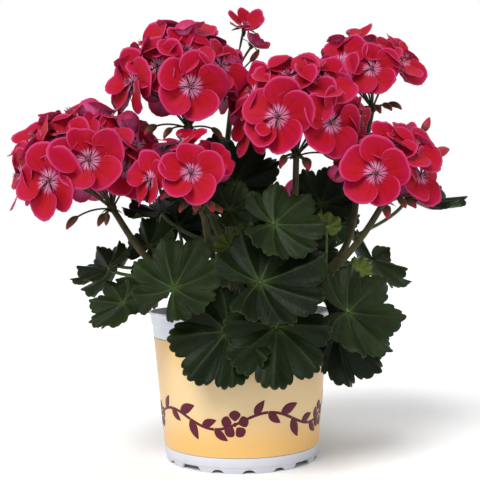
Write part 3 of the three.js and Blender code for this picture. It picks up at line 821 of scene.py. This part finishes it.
def make_floor():
    """The pot's raised floor, a disc with round drain holes."""
    floor = Piece("pot_floor")
    edge = POT["foot"] - FOOT["wall"] + 0.2
    low, high = FOOT["lift"] + 0.1, FOOT["lift"] + FOOT["floor"] - 0.1
    holes = [towards(360 * i / DRAIN["count"], 0)[:2] * DRAIN["ring"] for i in range(DRAIN["count"])]
    rings = np.linspace(0.5, edge, 40)
    angles = full_turn(144)
    flat = np.array([[cos(a) * r, sin(a) * r] for r in rings for a in angles])
    for hole in holes:
        away = flat - hole
        distance = np.linalg.norm(away, axis=1)
        inside = distance < DRAIN["radius"]
        pushed = hole + away / np.maximum(distance, 1e-6)[:, None] * DRAIN["radius"]
        flat[inside] = pushed[inside]
    count = len(flat)
    index = np.arange(count).reshape(len(rings), len(angles))
    face = between(index, np.roll(index, -1, axis=1))
    middle = flat[face].mean(axis=1)
    open_here = np.zeros(len(face), bool)
    for hole in holes:
        open_here |= np.linalg.norm(middle - hole, axis=1) < DRAIN["radius"] * 0.97
    face = face[~open_here]
    sides = {}
    for quad in face:
        for a, b in zip(quad, np.roll(quad, -1)):
            sides[(a, b)] = True
    border = np.array([(a, b) for a, b in sides if (b, a) not in sides])
    walls = np.column_stack([border[:, 1], border[:, 0], border[:, 0] + count, border[:, 1] + count])
    top = np.column_stack([flat, np.full(count, high)])
    under = np.column_stack([flat, np.full(count, low)])
    floor.add(np.concatenate([top, under]), [face, face[:, ::-1] + count, walls])
    floor.build(pot_paint(), "pot")


def make_label():
    """The film round the pot, warmer below and above, with painted shade that warms it at its left and right
    as seen from the front.
    """
    bottom, top = LABEL["bottom"], LABEL["top"]
    low, high, thick = LABEL["bottom_radius"], LABEL["top_radius"], LABEL["thickness"]
    profile = rounded([(low - thick, bottom), (low, bottom), (high, top), (high - thick, top)], 0.12)
    band = Piece("label_film", "side")
    # Painted shade: side is 1 at the pot's left and right as seen from the front, and 0 at its front and
    # back.
    side = np.repeat([0.5 - 0.5 * cos(radians(2 * a)) for a in range(AROUND)], len(profile))
    lathed(band, profile, side=side**2)
    band.build(label_paint(), "label", "label_band")


def on_label(flat, lift):
    """Points on the label's face by their [length round, height]. The length starts at the front."""
    middle = (LABEL["bottom_radius"] + LABEL["top_radius"]) / 2
    angle = flat[..., 0] / middle
    height = flat[..., 1]
    low, high = LABEL["bottom_radius"], LABEL["top_radius"]
    radius = mapped(height, LABEL["bottom"], LABEL["top"], low, high) + lift
    return np.stack([np.sin(angle) * radius, -np.cos(angle) * radius, height], axis=-1)


def print_shape(piece, spine, widths):
    """A flat printed shape of the given half widths along a spine."""
    along = np.gradient(spine, axis=0)
    across = np.column_stack([-along[:, 1], along[:, 0]])
    across /= np.linalg.norm(across, axis=1, keepdims=True)
    places = np.linspace(1, -1, 5)
    flat = spine[:, None] + across[:, None] * (np.asarray(widths)[:, None] * places)[..., None]
    slab(piece, on_label(flat, 0.06), 0.12, 1.0)


def make_print():
    """A plain garland round the label: a waved stem with leaves on both sides and five-petalled flowers."""
    garland = Piece("label_garland")
    length = pi * (LABEL["bottom_radius"] + LABEL["top_radius"])
    waves = 5
    height, swing = 32.5, 5.0
    share = np.linspace(0, 1, 14)

    def vine(x):
        return np.array([x, height + swing * sin(2 * pi * waves * x / length)])

    pieces_of_stem = 4 * waves
    for i in range(pieces_of_stem):
        ends = (i + 0.98 * share) * length / pieces_of_stem
        print_shape(garland, np.array([vine(x) for x in ends]), np.full(14, 0.85))
    for i in range(8 * waves):
        if i % 8 in (0, 7):
            continue
        x = i * length / (8 * waves)
        start = vine(x)
        slope = vine(x + 0.5) - start
        side = 1 if i % 2 else -1
        lean = atan2(slope[1], slope[0]) + side * radians(50)
        way = np.array([cos(lean), sin(lean)])
        bend = np.array([-way[1], way[0]]) * side
        size = 13.0 if i % 8 in (3, 4) else 10.5
        spine = start + np.outer(share * size, way) - np.outer(share**2 * 1.8, bend)
        print_shape(garland, spine, 0.15 + 0.23 * size * np.sin(pi * share**0.8) ** 0.9)
    for i in range(waves):
        middle = vine((i - 0.06) * length / waves)
        for k in range(5):
            a = radians(90 + 72 * k)
            way = np.array([cos(a), sin(a)])
            spine = middle + np.outer(2.2 + share * 6.6, way)
            print_shape(garland, spine, 0.4 + 3.1 * np.sin(pi * share**1.25) ** 0.7)
        heart = middle + np.outer(2.8 * share - 1.4, [1, 0])
        print_shape(garland, heart, 1.4 * np.sin(pi * (0.02 + 0.96 * share)))
    garland.build(print_paint(), "label")


def crown_of(r, edge):
    """The height of the smooth soil at a radius."""
    return SOIL["edge"] + (SOIL["crown"] - SOIL["edge"]) * (1 - (r / edge) ** 2) ** 0.7 - 0.8


def make_soil():
    """Lumpy peat that fills the pot, with perlite and bark on it."""
    peat = Piece("peat")
    bottom = FOOT["lift"] + FOOT["floor"] + SEAT_GAP
    edge = inner_radius(SOIL["edge"]) - SEAT_GAP
    rings = np.linspace(0.4, edge, 46)
    angles = full_turn(180)
    top = []
    for r in rings:
        for a in angles:
            x, y = cos(a) * r, sin(a) * r
            coarse = noise.noise(Vector((x, y, 3.0)) * 0.11)
            fine = noise.noise(Vector((x, y, 9.0)) * 0.45)
            fade = 1 - smooth_step(edge - 4, edge, r)
            top.append([x, y, crown_of(r, edge) + fade * (1.1 * coarse + 0.8 * fine)])
    inner = inner_radius(bottom) - SEAT_GAP
    base = [[cos(a) * r, sin(a) * r, bottom] for r in (inner, 0.4) for a in angles]
    points = np.array(top + base)
    index = np.arange(len(points)).reshape(-1, len(angles))
    index = np.concatenate([index, index[:1]])
    peat.add(points, [between(index, np.roll(index, -1, axis=1))])
    peat.build(soil_paint(), "soil", "soil")
    grit = Piece("perlite_and_bark", "bark")
    draw = draws_from(41)
    for i in range(GRAINS_ON_SOIL):
        r = edge * 0.97 * sqrt(0.5 + 0.5 * draw())
        a = pi * draw()
        size = 1.1 + 0.6 * draw()
        is_bark = i % 3 == 0
        middle = np.array([cos(a) * r, sin(a) * r, min(crown_of(r, edge) + 0.5, SOIL["crown"])])
        spine = unit(np.array([draw(), draw(), 0.3 * draw()])) * size * (1.7 if is_bark else 0.8)
        path = middle + np.outer(np.linspace(-1, 1, 5), spine)
        width = size * (0.4 if is_bark else 0.8) * np.array([0.35, 0.85, 1.0 + 0.2 * draw(), 0.8, 0.3])
        tube(grit, path, width, 6, bark=float(is_bark))
    grit.build(grit_paint(), "soil")


# Leaves and their shoots


def lobe_place(angle):
    """Where an angle from the leaf's tip lies, counted in lobes from the slit."""
    return (angle + LEAF["half_span"]) / (2 * LEAF["half_span"]) * LEAF["lobes"]


def leaf_edge(angle):
    """The edge of a leaf of unit size at an angle from its tip: round lobes with small rounded teeth."""
    in_lobe = lobe_place(angle) % 1
    whole = 0.7 + 0.3 * np.cos(np.radians(angle / 2)) ** 2
    lobe = 1 - LEAF["notch"] * (1 - np.sin(pi * in_lobe)) ** 2
    teeth = 1 - 0.05 * (1 - np.abs(np.sin(pi * TEETH * in_lobe)) ** 0.6)
    return whole * lobe * teeth


def leaf_height(leaf, angle, reach):
    """The height of a leaf's surface: pleated along its veins, cupped, folded and waved."""
    place = lobe_place(angle)
    away = np.abs((place % 1) - 0.5) * 2
    crease = 1 - 2 * away**1.3
    veins = 2.2 * LEAF["pleat"] * reach * crease
    forks = 0.044 * reach**2 * np.cos(4 * pi * place)
    bowl = leaf["cup"] * reach**2
    halves = leaf["fold"] * reach * np.abs(np.sin(np.radians(angle)))
    wave = leaf["wave"] * reach**3 * np.sin(np.radians(2.5 * angle) + leaf["phase"])
    frill = 0.036 * reach**5 * np.sin(np.radians(6.5 * angle) + 2 * leaf["phase"])
    return leaf["size"] * (veins + forks + bowl + halves + wave + frill)


TEETH = 5
COLUMNS_PER_LOBE = 20
LIGHT_SIZES = (23,)  # the small leaf low on the left is the lightest


def leaf_of(middle, face, turn, size, start, arch_up=0):
    """A leaf's measures, with those that all the leaves share."""
    return {
        "middle": np.array(middle, float),
        "axes": axes_at(*face, turn),
        "size": size,
        "from": start,
        "arch": arch_up,
        "cup": 0.12,
        "fold": 0.04,
        "wave": 0.065,
        "phase": middle[0] / 10,
        "young": 0.85 if size < LEAF["smallest"] else 0.0,
        "light": 0.9 if size in LIGHT_SIZES else 0.5 - 0.5 * cos(1.7 * middle[0] + middle[2]),
    }


def laid_out(at, size, reach, bearing, height):
    """Points by their reach and bearing in the frame of a leaf or a floret, put in place."""
    flat = [size * reach * np.cos(bearing), size * reach * np.sin(bearing), height]
    return np.stack(flat, axis=-1) @ at["axes"].T + at["middle"]


def leaf_blade(piece, leaf):
    """A thin pleated blade, spread from its middle to its toothed edge, with a slit that widens outwards."""
    small = leaf["size"] < LEAF["smallest"]
    per_lobe = 10 if small else COLUMNS_PER_LOBE
    shares = np.linspace(0.025, 1, 8 if small else 14)[:, None]
    plain = np.linspace(-LEAF["half_span"], LEAF["half_span"], per_lobe * LEAF["lobes"] + 1)[None, :]
    angle = plain * (1 + 0.12 * (1 - shares))
    reach = shares * leaf_edge(plain)
    height = leaf_height(leaf, plain, reach)
    grid = laid_out(leaf, leaf["size"], reach, np.radians(angle), height)
    fold = np.abs(lobe_place(plain) % 1 - 0.5) * 2
    shade = {"tint": leaf["young"], "light": leaf["light"]}
    slab(piece, grid, LEAF["thickness"], reach=reach, fold=fold, outer=shares, **shade)


def petiole(piece, leaf, stem, draw):
    """A petiole leaves its stem outwards and comes to the leaf from behind, on the side of its slit."""
    start = evenly(stem, [leaf["from"]])[0]
    end = leaf["middle"]
    span = np.linalg.norm(end - start)
    outwards = unit((end - start) * [1, 1, 0])
    leaving = start + outwards * 0.2 * span + [0, 0, 0.3 * span + leaf["arch"]]
    behind = leaf["axes"] @ unit(np.array([-0.35, 0, -0.94]))
    arriving = end + behind * 0.3 * span + [0, 0, leaf["arch"]]
    path = evenly(bezier(start, leaving, arriving, end), np.linspace(0, 1, 22))
    radius = PETIOLE_RADIUS * (0.7 if leaf["size"] < LEAF["smallest"] else 1.0)
    share = np.linspace(0, 1, 22)
    radii = radius * (0.86 + 0.5 * (1 - share) ** 3 + 0.16 * share**6)
    tube(piece, path, radii, 10, warm=0.35 * (1 - share) ** 2)
    spikes(piece, path[:-1], radii[:-1], int(span * 1.2), 1.1, draw)


def make_shoot(name, shoot, materials):
    """A woody stem with its petioles, and its blades."""
    curve = spline(shoot["stem"])
    draw = draws_from(len(name) * 31 + int(shoot["stem"][0][0]) + 90)
    stems = Piece(f"stems_{name}", "warm")
    blades = Piece(f"leaves_{name}", "reach", "fold", "outer", "tint", "light", "under")
    share = np.linspace(0, 1, 26)
    knots = 1 + 0.09 * np.exp(-(((share * 6) % 1 - 0.5) / 0.16) ** 2)
    path = evenly(curve, share)
    radii = STEM_RADIUS * (1 - 0.3 * share)
    tube(stems, path, radii * knots, 16, warm=1 - 0.55 * share)
    spikes(stems, path, radii, HAIRS["stem"], 1.2, draw, warm=0.3)
    for entry in shoot["leaves"]:
        leaf = leaf_of(*entry)
        leaf_blade(blades, leaf)
        petiole(stems, leaf, curve, draw)
    stems.build(materials["stem"], "foliage", f"shoot_{name}")
    blades.build(materials["leaf"], "foliage", f"shoot_{name}")
    return curve


# Flower heads


def petal(piece, floret, axis, lean, draw, upper):
    """A broad petal: a narrow claw that widens to a round, softly waved blade."""
    size = floret["size"] * (0.98 + 0.07 * draw())
    length, width, centre = (0.42, 0.46, 0.58) if upper else (0.45, 0.51, 0.55)
    widest = atan(width / sqrt(centre**2 - length**2))
    t = np.linspace(-1, 1, 17)[None, :]
    s = (np.linspace(0.05, 1, 12) ** 0.85)[:, None]
    angle = widest * np.sin(t * pi / 2)
    a = (np.cos(angle) / length) ** 2 + (np.sin(angle) / width) ** 2
    b = 2 * centre * np.cos(angle) / length**2
    c = (centre / length) ** 2 - 1
    outline = (b + np.sqrt(np.maximum(b * b - 4 * a * c, 0))) / (2 * a)
    outline *= 1 - (0.03 + 0.03 * draw()) * np.exp(-((angle / 0.22) ** 2))
    outline *= 1 + 0.03 * np.sin(4.5 * angle + pi * draw())
    reach = s * outline
    claw = 0.45 + 0.55 * smooth_step(0.0, 0.55, reach)
    bearing = radians(axis + 7 * draw()) + angle * claw
    across = np.sin(angle) * reach
    rise = FLORET["cup"] * reach**2 + lean * reach**2
    twist = (0.3 + 0.03 * draw()) * across
    roll = (0.02 + 0.2 * draw()) * across**2
    tip = (-0.04 + 0.16 * draw()) * reach**4
    gutter = -0.05 * np.exp(-((across / 0.12) ** 2)) * reach
    phase = pi * draw()
    ruffle = (0.045 + 0.02 * draw()) * smooth_step(0.5, 1, reach) * np.sin((4.2 + draw()) * angle + phase)
    crimp = 0.012 * smooth_step(0.6, 1, reach) * np.sin(13 * angle + 2 * phase)
    height = rise + twist + roll + tip + gutter + ruffle + crimp
    grid = laid_out(floret, size, reach, bearing, size * height)
    rim = np.maximum(s, np.abs(t) ** 3 * smooth_step(0.25, 0.8, s))
    mark = (0.95 if upper else 0.7) + 0.1 * draw()
    slab(piece, grid, FLORET["thickness"], along=reach, across=t * (0.6 + 0.4 * s), rim=rim, mark=mark)


def narrow_blade(bearing, out, width, height, curl):
    """A slender blade along a bearing, by how far out, how wide and how high it is, with raised sides."""
    t = np.linspace(-1, 1, 5)[None, :]
    x = out * cos(bearing) - width * t * sin(bearing)
    y = out * sin(bearing) + width * t * cos(bearing)
    return np.stack([x, y, height + curl * t**2], axis=-1)


def sepals(piece, floret, draw):
    """Five slender sepals behind the petals."""
    s = np.linspace(0, 1, 7)[:, None]
    width = 1.25 * np.sin(pi * (0.12 + 0.86 * s)) ** 0.8
    for k in range(5):
        bearing = radians(floret["spin"] + 36 + 72 * k)
        height = -1.0 - 1.8 * s**2 - 0.5 * draw() * s
        blade = narrow_blade(bearing, 0.8 + 8.2 * s, width, height, 0.3)
        slab(piece, blade @ floret["axes"].T + floret["middle"], SEPAL_THICKNESS, warm=0.55)


def eye(piece, floret, draw):
    """The stamens and the parted stigma in a floret's throat."""
    middle, axes, size = floret["middle"], floret["axes"], floret["size"]
    for k in range(7):
        a = 2 * pi * k / 7 + 0.3 * draw()
        lean = 0.07 + 0.04 * draw()
        tall = size * (0.17 + 0.03 * draw())
        s = np.linspace(0, 1, 5)
        local = np.column_stack([cos(a) * lean * size * s, sin(a) * lean * size * s, 0.2 + tall * s])
        path = local @ axes.T + middle
        tube(piece, path, [0.22, 0.2, 0.18, 0.17, 0.16], 5)
        tip = path[-1]
        along = unit(axes @ np.array([cos(a + 1.3), sin(a + 1.3), 0.3]))
        anther = tip + np.outer(np.linspace(-0.65, 0.65, 5), along)
        tube(piece, anther, [0.1, 0.32, 0.38, 0.32, 0.1], 6, dark=1.0)
    for k in range(5):
        a = 2 * pi * k / 5 + 0.4
        s = np.linspace(0, 1, 6)
        out = 1.5 * s**2.4
        local = np.column_stack([cos(a) * out, sin(a) * out, 0.2 + size * 0.26 * s])
        tube(piece, local @ axes.T + middle, 0.2 - 0.06 * s, 5, dark=0.35)


def pedicel_route(hub, end, arriving):
    span = np.linalg.norm(end - hub)
    start = hub + (end - hub) * (0.6 * 3.6 / span)
    leaving = hub + (end - hub) * 0.35 + [0, 0, 0.15 * span]
    return bezier(start, leaving, end - arriving * 0.3 * span, end)


def floret_pedicel(piece, hub, floret, draw):
    """A slim pedicel that swells into the calyx tube behind its floret."""
    facing = floret["axes"][:, 2]
    end = floret["middle"] - facing * 0.7
    share = np.linspace(0, 1, 18)
    path = evenly(pedicel_route(hub, end, facing), share)
    radii = 0.62 + 0.25 * smooth_step(0.55, 0.75, share) + 0.75 * smooth_step(0.86, 0.98, share)
    tube(piece, path, radii, 8, warm=0.75 - 0.3 * share)
    spikes(piece, path[:-2], radii[:-2], HAIRS["pedicel"], 0.9, draw, warm=0.6)


def bud(piece, hub, tip, width, rise, draw):
    """A bud that hangs from its pedicel: ribbed by its sepals, and red where its petals show."""
    end = np.array(tip, float)
    outwards = unit((end - hub) * [1, 1, 0]) * 0.45
    direction = unit(outwards + [0, 0, rise])
    route = pedicel_route(hub, end, direction)
    length = float(np.linalg.norm(end - hub))
    share_of_bud = min(0.62, 11.5 / length)
    stalk_shares = np.linspace(0, 1 - share_of_bud, 12)
    tube(piece, evenly(route, stalk_shares), 0.6, 7, warm=0.6)
    s = np.linspace(0, 1, 16)
    path = evenly(route, 1 - share_of_bud + share_of_bud * s)
    swell = np.sin(pi * np.clip(s, 0.02, 0.985) ** 0.85) ** 0.75
    radii = 0.35 + (1.1 * width - 0.35) * swell
    shut = 0.62 if rise < 0 else 0.2
    opening = 0.14 + smooth_step(shut, shut + 0.28, s) * (0.81 if width > 2.1 else 0.45)
    tube(piece, path, radii, 15, 5, 0.07, warm=0.5, red=opening)
    spikes(piece, path, radii, HAIRS["bud"], 0.8, draw, warm=0.5)


def bracts(piece, hub, draw):
    """A ruff of small bracts under the pedicels."""
    s = np.linspace(0, 1, 6)[:, None]
    width = 1.3 * np.sin(pi * (0.15 + 0.83 * s)) ** 0.8
    for k in range(9):
        bearing = 2 * pi * k / 9 + 0.3 * draw()
        height = -0.6 - (2.6 + draw()) * s
        blade = narrow_blade(bearing, BOSS_RADIUS * 0.6 + 5.0 * s, width, height, 0.2)
        slab(piece, blade + hub, SEPAL_THICKNESS, warm=0.45)


def make_head(name, head, stem, materials):
    """A peduncle, its boss with bracts, pedicels and buds, and the florets on their dome."""
    hub = np.array(head["hub"], float)
    draw = draws_from(int(abs(hub[0])) * 13 + int(hub[2]))
    petals = Piece(f"petals_{name}", "along", "across", "rim", "mark", "under")
    eyes = Piece(f"eyes_{name}", "dark")
    green = Piece(f"stalks_{name}", "warm", "red")
    route = spline([evenly(stem, [head["from"]])[0], *head["way"], head["hub"]])
    share = np.linspace(0, 1, 40)
    path = evenly(route, share)
    radii = PEDUNCLE_RADIUS * (1.15 - 0.2 * share)
    tube(green, path, radii, 14, warm=0.35 + 0.45 * share)
    spikes(green, path, radii, HAIRS["peduncle"], 1.1, draw, warm=0.5)
    knob = np.linspace(-1, 1, 9)
    knob_path = hub + np.outer(knob * BOSS_RADIUS, [0, 0, 1])
    tube(green, knob_path, BOSS_RADIUS * np.sqrt(1.02 - knob**2), 14, warm=0.6)
    bracts(green, hub, draw)
    for azimuth, elevation, size, *further in head["florets"] + head["behind"]:
        out = head["dome"][1] + (further[0] if further else 0)
        middle = np.array(head["dome"][0], float) + towards(azimuth, elevation) * out
        own = draws_from(int(np.linalg.norm(middle) * 10 + 0.5))
        floret = {
            "middle": middle,
            "axes": axes_at(azimuth, elevation),
            "size": size,
            "spin": 90 + 14 * own(),
        }
        for i in range(FLORET["petals"]):
            axis = floret["spin"] + 360 / FLORET["petals"] * i
            lean = 0.08 * own() + head.get("half_open", 0)
            petal(petals, floret, axis, lean, draw, sin(radians(axis)) > 0.5)
        if head.get("curled") == [azimuth, elevation]:
            aside = floret["axes"] @ np.array([-3.0, -4.0, 3.0])
            petal(petals, {**floret, "middle": middle + aside, "size": size * 0.42}, 215, 0.5, draw, False)
        eye(eyes, floret, draw)
        sepals(green, floret, draw)
        floret_pedicel(green, hub, floret, draw)
    for azimuth, elevation, size, axis in head.get("turned", []):
        standing = {
            "middle": np.array(head["dome"][0], float) + towards(azimuth, elevation) * (head["dome"][1] - 3),
            "axes": axes_at(180 + 0.5 * azimuth, 15),
            "size": size,
        }
        petal(petals, standing, axis, 0.1, draw, False)
    for tip, width, *rise in head["buds"]:
        bud(green, hub, tip, width, rise[0] if rise else -1, draw)
    petals.build(materials["petal"], "petal", f"umbel_{name}_florets")
    eyes.build(materials["eye"], "petal", f"umbel_{name}_florets")
    green.build(materials["stalk"], "stalk", f"umbel_{name}_stalk")


# Camera, light and floor


def make_camera():
    data = bpy.data.cameras.new("camera")
    data.sensor_width = SENSOR
    data.lens = SENSOR * FOCAL_PIXELS / PHOTO_SIDE
    data.shift_x = (PHOTO_SIDE / 2 - VIEW_AXIS_PIXEL[0]) / PHOTO_SIDE
    data.shift_y = (VIEW_AXIS_PIXEL[1] - PHOTO_SIDE / 2) / PHOTO_SIDE
    camera = bpy.data.objects.new("camera", data)
    bpy.context.collection.objects.link(camera)
    place = Vector(POT_AXIS) + Vector((0, -CAMERA_BACK, CAMERA_HEIGHT)) * MM
    level = Matrix.Rotation(radians(90), 4, "X")
    roll = Matrix.Rotation(radians(-CAMERA_ROLL), 4, "Z")
    camera.matrix_world = Matrix.Translation(place) @ level @ roll
    bpy.context.scene.camera = camera


def soft_sun(name, place, strength, spread):
    """A wide distant light from a place, aimed at the middle of the plant."""
    data = bpy.data.lights.new(name, "SUN")
    data.energy = strength
    data.angle = radians(spread)
    light = bpy.data.objects.new(name, data)
    bpy.context.collection.objects.link(light)
    light.matrix_world = Vector(place).to_track_quat("Z", "Y").to_matrix().to_4x4()


def make_studio():
    """A pale floor, white walls that darken overhead, and a soft light from above on the left."""
    world = bpy.data.worlds.new("studio")
    world.use_nodes = True
    sky = Nodes(world.node_tree)
    walls = sky.step(0.6, 0.32, sky.height("Generated"))
    background = sky.tree.nodes["Background"]
    sky.plug(sky.scaled(walls, 0.75, 0.25), background.inputs["Strength"])
    sky.plug("ffffff", background.inputs["Color"])
    bpy.context.scene.world = world
    bpy.context.scene.view_settings.view_transform = "Standard"
    soft_sun("key_light", *KEY_LIGHT)
    soft_sun("top_light", *TOP_LIGHT)
    mesh = bpy.data.meshes.new("floor")
    corners = [(x * FLOOR_HALF, y * FLOOR_HALF, 0) for x, y in ((-1, -1), (1, -1), (1, 1), (-1, 1))]
    mesh.from_pydata(corners, [], [(0, 1, 2, 3)])
    paint = Paint("floor", 0.8, Specular_IOR_Level=0.1)
    paint.colour(paint.mix(paint.noise(3.0), "f4f4f4", "f7f7f7"))
    mesh.materials.append(paint.material)
    floor = bpy.data.objects.new("floor", mesh)
    bpy.context.collection.objects.link(floor)


make_camera()
make_studio()
make_pot()
make_floor()
make_label()
make_print()
make_soil()
paints = {
    "leaf": leaf_paint(),
    "stem": stem_paint(),
    "stalk": stalk_paint(),
    "petal": petal_paint(),
    "eye": eye_paint(),
}
stems = {name: make_shoot(name, shoot, paints) for name, shoot in SHOOTS.items()}
for head_name, head_plan in HEADS.items():
    make_head(head_name, head_plan, stems[head_plan["shoot"]], paints)
